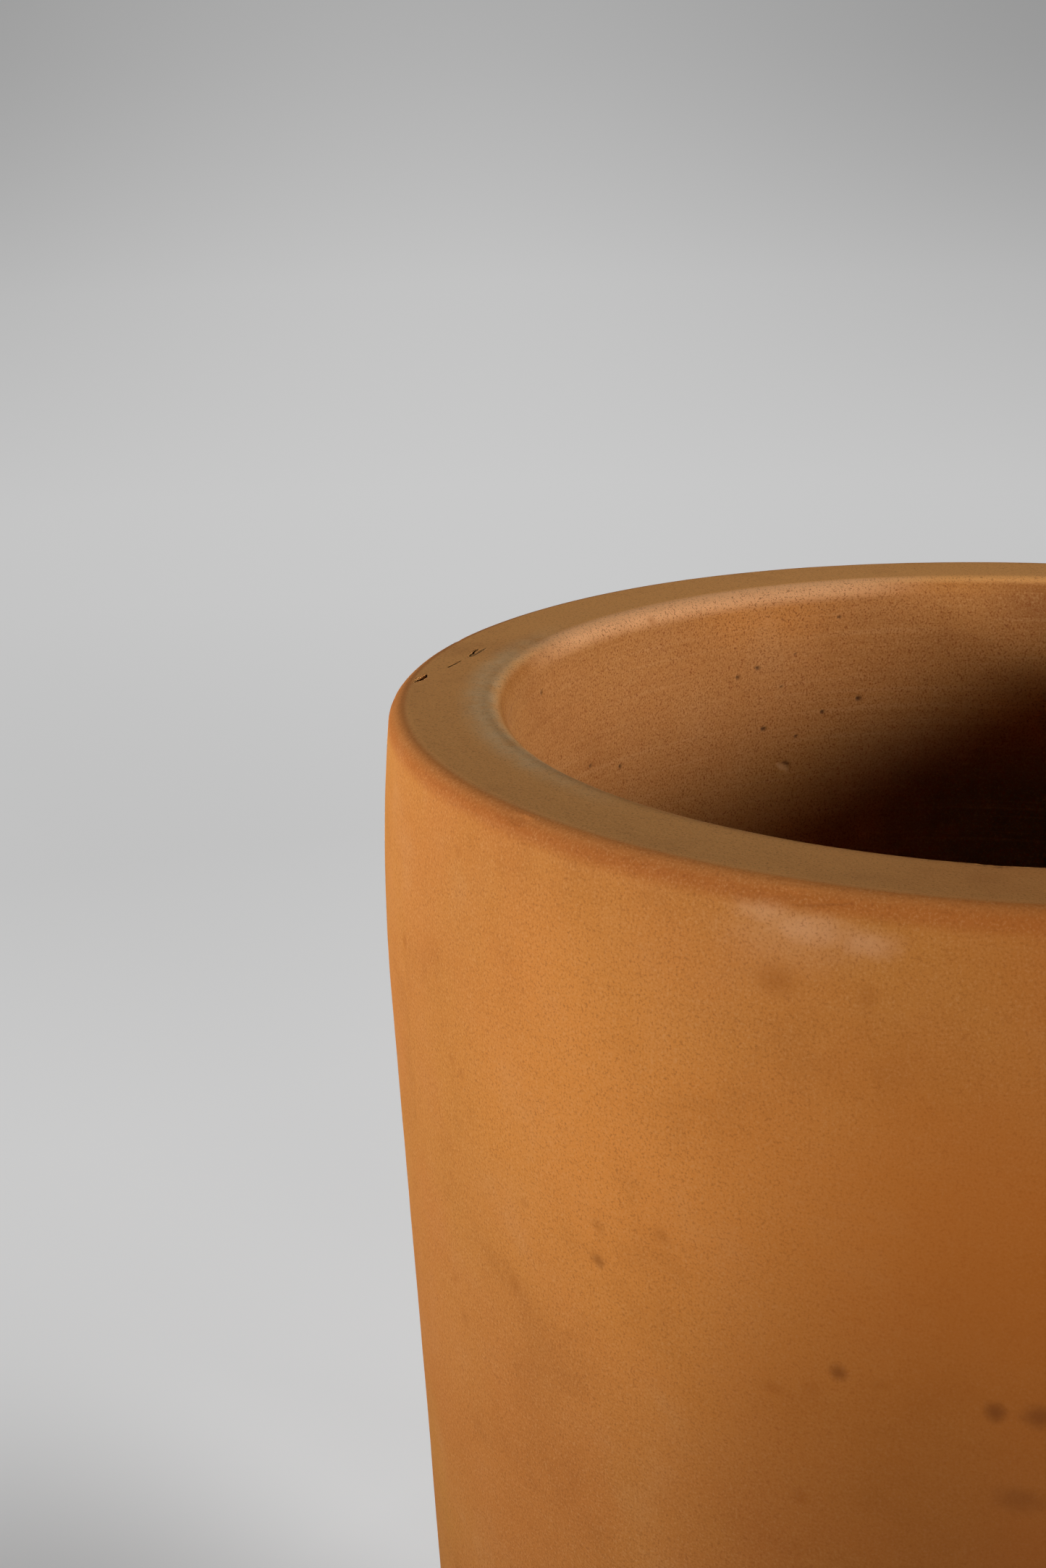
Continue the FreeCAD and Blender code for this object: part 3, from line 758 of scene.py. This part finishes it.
def markPot(piece):
    shape = bmesh.new()
    shape.from_mesh(piece.data)
    shape.verts.layers.float.new("pitted")
    shape.verts.layers.float.new("chipped")
    layers = {"pit": shape.verts.layers.float["pitted"], "chip": shape.verts.layers.float["chipped"]}
    flaws = []
    for kind, zone, turn, along, length, width, depth, slant in potMarks():
        middle, outward = potPlace(zone, turn, along)
        tangent = Vector((0, 0, 1)).cross(middle).normalized()
        upright = outward.cross(tangent)
        slant = math.radians(slant)
        lengthwise = tangent * math.cos(slant) + upright * math.sin(slant)
        flaws.append((kind, middle, outward, lengthwise, outward.cross(lengthwise), length, width, depth))
    around, through, reach = (flawSettings[name] for name in ("around", "through", "reach"))
    cut = set()
    for face in shape.faces:
        centre = face.calc_center_median()
        for kind, middle, outward, lengthwise, crosswise, length, width, depth in flaws:
            offset = centre - middle
            if abs(offset.x) > around or abs(offset.y) > around:
                continue
            if (abs(offset.dot(lengthwise)) < length / 2 + reach
                    and abs(offset.dot(crosswise)) < width / 2 + reach
                    and abs(offset.dot(outward)) < through):
                cut.update(face.edges)
                break
    bmesh.ops.subdivide_edges(shape, edges=list(cut), cuts=flawSettings["cuts"], use_grid_fill=True)
    for vert in shape.verts:
        for kind, middle, outward, lengthwise, crosswise, length, width, depth in flaws:
            offset = vert.co - middle
            if max(abs(offset.x), abs(offset.y), abs(offset.z)) > around or abs(offset.dot(outward)) > through:
                continue
            ragged = noise3d(vert.co / mm * flawSettings["raggedSize"]) * flawSettings["raggedness"]
            far = math.hypot(offset.dot(lengthwise) / (length / 2), offset.dot(crosswise) / (width / 2))
            share = min(1.0, max(0.0, (flawSettings["edge"] + ragged - far) / flawSettings["fade"]))
            share = share * share * (3 - 2 * share)
            if share > 0:
                vert.co -= outward * depth * share
                if kind in layers:
                    vert[layers[kind]] = max(vert[layers[kind]], share)
    shape.to_mesh(piece.data)
    shape.free()
    print("pot marked:", len(flaws), "flaws")


markPot(pot)

for piece, body, node, slot in ((pot, "pot", "pot", "pot_clay"), (saucer, "saucer", "saucer", "saucer_clay")):
    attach(piece, body)
    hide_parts(node)
print("pieces dressed")

# stage: pale floor that curves up into a backdrop all round

stageSizes = {"middle": 0.3, "flat": 1.1, "bend": 0.7, "bendSteps": 24, "wall": 2.2, "columns": 96}
stagePaintedGlow = (
    # floor radius plus height, paleness of the glow from 0 to 255: painted light, darker towards the top
    (0.10, 205), (0.30, 204), (0.50, 197), (0.90, 201), (1.20, 201), (1.60, 195), (1.95, 176), (2.30, 159),
)
stageReach = 2.5
stageGlow = {    # painted light: brightest where it faces, by turn in radians, and dimmer to both sides, more so higher up
    "towards": -0.31, "wide": 0.38, "loss": 0.28, "low": -0.12, "high": 0.30, "past": 1.30, "rest": 0.35,
}
# painted shadow on the floor at the pot's left
stagePaintedShadow = {"towards": -1.65, "narrow": 0.25, "wide": 0.70, "far": 0.28, "near": 0.15, "loss": 0.42}
contactShadow = {"reach": 0.05, "share": 0.45}
stageMatt = 130    # grey that takes the shadow, 0 to 255


def makeStageMaterial():
    pale = bpy.data.materials.new("paleStage")
    pale.use_nodes = True
    tree = pale.node_tree
    tree.nodes.clear()
    place = tree.nodes.new("ShaderNodeTexCoord").outputs["Object"]
    parts = addNode(tree, "ShaderNodeSeparateXYZ", {0: place})
    across = aim(tree, "LENGTH", aim(tree, "MULTIPLY", place, (1.0, 1.0, 0.0)))
    along = calc(tree, "DIVIDE", calc(tree, "ADD", across, parts.outputs["Z"]), stageReach)
    fade = addNode(tree, "ShaderNodeValToRGB", {0: along})
    stops = fade.color_ramp.elements
    for index, (reach, grey) in enumerate(stagePaintedGlow):
        stop = stops[index] if index < 2 else stops.new(reach / stageReach)
        stop.position = reach / stageReach
        stop.color = srgb(grey, grey, grey)
    azimuth = calc(tree, "ARCTAN2", parts.outputs["X"], parts.outputs["Y"])
    aside = calc(tree, "ABSOLUTE", calc(tree, "SUBTRACT", azimuth, stageGlow["towards"]))
    loss = times(tree, ramp(tree, aside, 0.0, stageGlow["wide"], 0.0, stageGlow["loss"]),
                 ramp(tree, aside, stageGlow["wide"], stageGlow["past"], 1.0, stageGlow["rest"]),
                 ramp(tree, parts.outputs["Z"], stageGlow["low"], stageGlow["high"]))
    # painted shadow on the floor at the pot's left
    aside = calc(tree, "ABSOLUTE", calc(tree, "SUBTRACT", azimuth, stagePaintedShadow["towards"]))
    corner = stagePaintedShadow
    paintedFloorShadow = times(tree, ramp(tree, aside, corner["wide"], corner["narrow"], 0.0, corner["loss"]),
                   ramp(tree, across, corner["far"], corner["near"]))
    loss = calc(tree, "ADD", loss, paintedFloorShadow)
    shade = addNode(tree, "ShaderNodeAmbientOcclusion", {"Distance": contactShadow["reach"]})
    shade = calc(tree, "MULTIPLY_ADD", shade.outputs["AO"], contactShadow["share"], 1 - contactShadow["share"])
    glow = addNode(tree, "ShaderNodeEmission", {
        "Color": fade.outputs[0], "Strength": times(tree, shade, calc(tree, "SUBTRACT", 1.0, loss)),
    })
    matt = addNode(tree, "ShaderNodeBsdfDiffuse", {"Color": srgb(stageMatt, stageMatt, stageMatt)})
    seen = addNode(tree, "ShaderNodeLightPath")
    direct = calc(tree, "MAXIMUM", seen.outputs["Is Camera Ray"], seen.outputs["Is Glossy Ray"])
    direct = calc(tree, "MAXIMUM", direct, seen.outputs["Is Transmission Ray"])
    dark = tree.nodes.new("ShaderNodeEmission")
    dark.inputs["Strength"].default_value = 0.0
    paleOnly = addNode(tree, "ShaderNodeMixShader", {0: direct, 1: dark.outputs[0], 2: glow.outputs[0]})
    both = addNode(tree, "ShaderNodeAddShader", {0: matt.outputs[0], 1: paleOnly.outputs[0]})
    out = tree.nodes.new("ShaderNodeOutputMaterial")
    tree.links.new(both.outputs[0], out.inputs["Surface"])
    return pale


def makeStage():
    middle, flat, bend, steps, wall, columns = stageSizes.values()
    outline = [(middle, 0.0), (2 * middle, 0.0), (flat, 0.0)]
    for step in range(1, steps + 1):
        turn = step / steps * math.pi / 2
        outline.append((flat + bend * math.sin(turn), bend * (1 - math.cos(turn))))
    outline.append((flat + bend, wall))
    shape = bmesh.new()
    rings = []
    for radius, height in outline:
        turns = [2 * math.pi * column / columns for column in range(columns)]
        rings.append([shape.verts.new((radius * math.cos(t), radius * math.sin(t), height)) for t in turns])
    shape.faces.new(rings[0])
    for inner, outer in zip(rings, rings[1:]):
        for column in range(columns):
            beside = (column + 1) % columns
            shape.faces.new((inner[column], outer[column], outer[beside], inner[beside]))
    for face in shape.faces:
        face.smooth = True
    mesh = bpy.data.meshes.new("paleStage")
    shape.to_mesh(mesh)
    shape.free()
    mesh.materials.append(makeStageMaterial())
    stage = bpy.data.objects.new("paleStage", mesh)
    bpy.context.scene.collection.objects.link(stage)


makeStage()

# camera

cameraPlace = {
    "place": Vector((0.0, -247.7 * mm, rimZ + 63.8 * mm)),
    "yaw": 0.2387,    # to the left of straight ahead, radians
    "pitch": 0.30,    # downwards
    "roll": -0.019,
    "lens": 50.0,
    "sensor": 36.0,
}


def makeCamera():
    yaw, pitch, roll = (cameraPlace[name] for name in ("yaw", "pitch", "roll"))
    ahead = Vector((-math.sin(yaw), math.cos(yaw), 0.0))
    right = Vector((math.cos(yaw), math.sin(yaw), 0.0))
    up = Vector((0.0, 0.0, 1.0))
    look = ahead * math.cos(pitch) - up * math.sin(pitch)
    top = ahead * math.sin(pitch) + up * math.cos(pitch)
    side = right * math.cos(roll) + top * math.sin(roll)
    top = top * math.cos(roll) - right * math.sin(roll)
    data = bpy.data.cameras.new("camera")
    data.lens = cameraPlace["lens"]
    data.sensor_width = cameraPlace["sensor"]
    data.clip_start = 0.01
    camera = bpy.data.objects.new("camera", data)
    bpy.context.scene.collection.objects.link(camera)
    camera.matrix_world = Matrix((
        (side.x, top.x, -look.x, cameraPlace["place"].x),
        (side.y, top.y, -look.y, cameraPlace["place"].y),
        (side.z, top.z, -look.z, cameraPlace["place"].z),
        (0.0, 0.0, 0.0, 1.0),
    ))
    bpy.context.scene.camera = camera


makeCamera()

# light

lamps = (
    # name, degrees round, degrees up, distance, size, spread in degrees, watts, place aimed at
    ("leftPanel", -152, 7, 1.00, 0.30, 20, 0.270, (-30 * mm, -30 * mm, 200 * mm)),
    ("rightPanel", -18, 12, 0.90, 0.28, 24, 0.204, (0.0, 50 * mm, 190 * mm)),
    ("backPanel", 72, -3.5, 0.90, 0.07, 30, 0.26, (0.0, 0.0, 70 * mm)),
    ("lowPanel", -112, 3, 0.75, 0.10, 9, 0.04, (0.0, -60 * mm, -35 * mm)),
    ("sidePanel", -8, -6, 0.90, 0.07, 18, 0.08, (0.0, 0.0, 80 * mm)),
    ("topPanel", 0, 90, 1.00, 0.03, 4.5, 0.0028, (0.0, 0.0, 0.0)),    # down into the pot
)
roomLight = 0.004


def makeLamps():
    for name, turn, rise, distance, size, spread, watts, aimed in lamps:
        turn, rise = math.radians(turn), math.radians(rise)
        away = Vector((math.cos(turn) * math.cos(rise), math.sin(turn) * math.cos(rise), math.sin(rise)))
        data = bpy.data.lights.new(name, "AREA")
        data.shape = "DISK"
        data.size = size
        data.energy = watts
        data.spread = math.radians(spread)
        lamp = bpy.data.objects.new(name, data)
        bpy.context.scene.collection.objects.link(lamp)
        lamp.location = away * distance + Vector((0, 0, rimZ))
        lamp.visible_camera = False
        lamp.rotation_mode = "QUATERNION"
        lamp.rotation_quaternion = (lamp.location - Vector(aimed)).to_track_quat("Z", "Y")


def makeWorld():
    world = bpy.data.worlds.new("softRoom")
    world.use_nodes = True
    room = world.node_tree.nodes["Background"]
    room.inputs["Color"].default_value = srgb(255, 255, 255)
    room.inputs["Strength"].default_value = roomLight
    bpy.context.scene.world = world


makeLamps()
makeWorld()
bpy.context.scene.view_settings.view_transform = "Standard"
print("stage, camera and light set")
